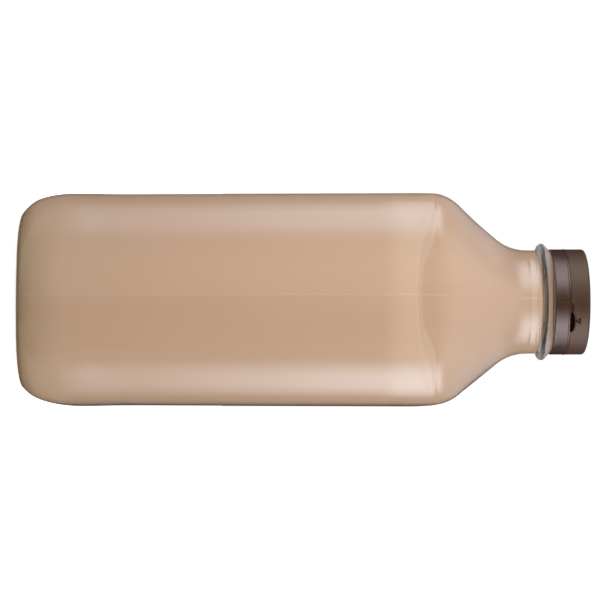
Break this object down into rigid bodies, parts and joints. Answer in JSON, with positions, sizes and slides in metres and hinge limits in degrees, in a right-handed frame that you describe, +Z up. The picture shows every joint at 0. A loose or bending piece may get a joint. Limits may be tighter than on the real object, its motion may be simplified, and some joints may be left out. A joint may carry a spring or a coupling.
{
  "type": "glass milk bottle",
  "caption": "Square milk bottle of clear glass with rounded corners and a round neck, filled with chocolate milk and closed by a brown plastic push-on cap with a tear-off band.",
  "frame": {"origin": "centre of the base, on the plane that the bottle stands on", "axes": "+Z up along the bottle's axis, from the base to the cap; the flats of the square body face +X, -X, +Y and -Y, and the pull tab is on the -Y side"},
  "size_m": [0.084, 0.084, 0.2256],
  "materials": {
    "glass": "clear moulded glass, fire-polished",
    "milk": "opaque liquid, the brown of chocolate milk",
    "cap_plastic": "matte moulded polyethylene",
    "band_plastic": "smoother moulded polyethylene than the cap's",
    "liner_foam": "white closed-cell foam with a smooth skin"
  },
  "bodies": {
    "bottle": {"glass_bottle": "glass", "chocolate_milk": "milk"},
    "band": {"tear_band": "band_plastic", "tear_web": "band_plastic"},
    "cap": {"cap_shell": "cap_plastic", "seal_liner": "liner_foam"},
    "tab": {"pull_tab": "band_plastic"}
  },
  "joints": [
    {"name": "cap_turn", "type": "hinge", "parent": "bottle", "child": "band", "pos_m": [0, 0, 0.215], "axis": [0, 0, 1], "continuous": true},
    {"name": "cap_lift", "type": "slide", "parent": "band", "child": "cap", "axis": [0, 0, 1], "range_m": [0, 0.045]},
    {"name": "tab_pull", "type": "hinge", "parent": "band", "child": "tab", "pos_m": [0.00134, -0.02126, 0.21485], "axis": [0, 0, -1], "range_deg": [0, 90]}
  ]
}
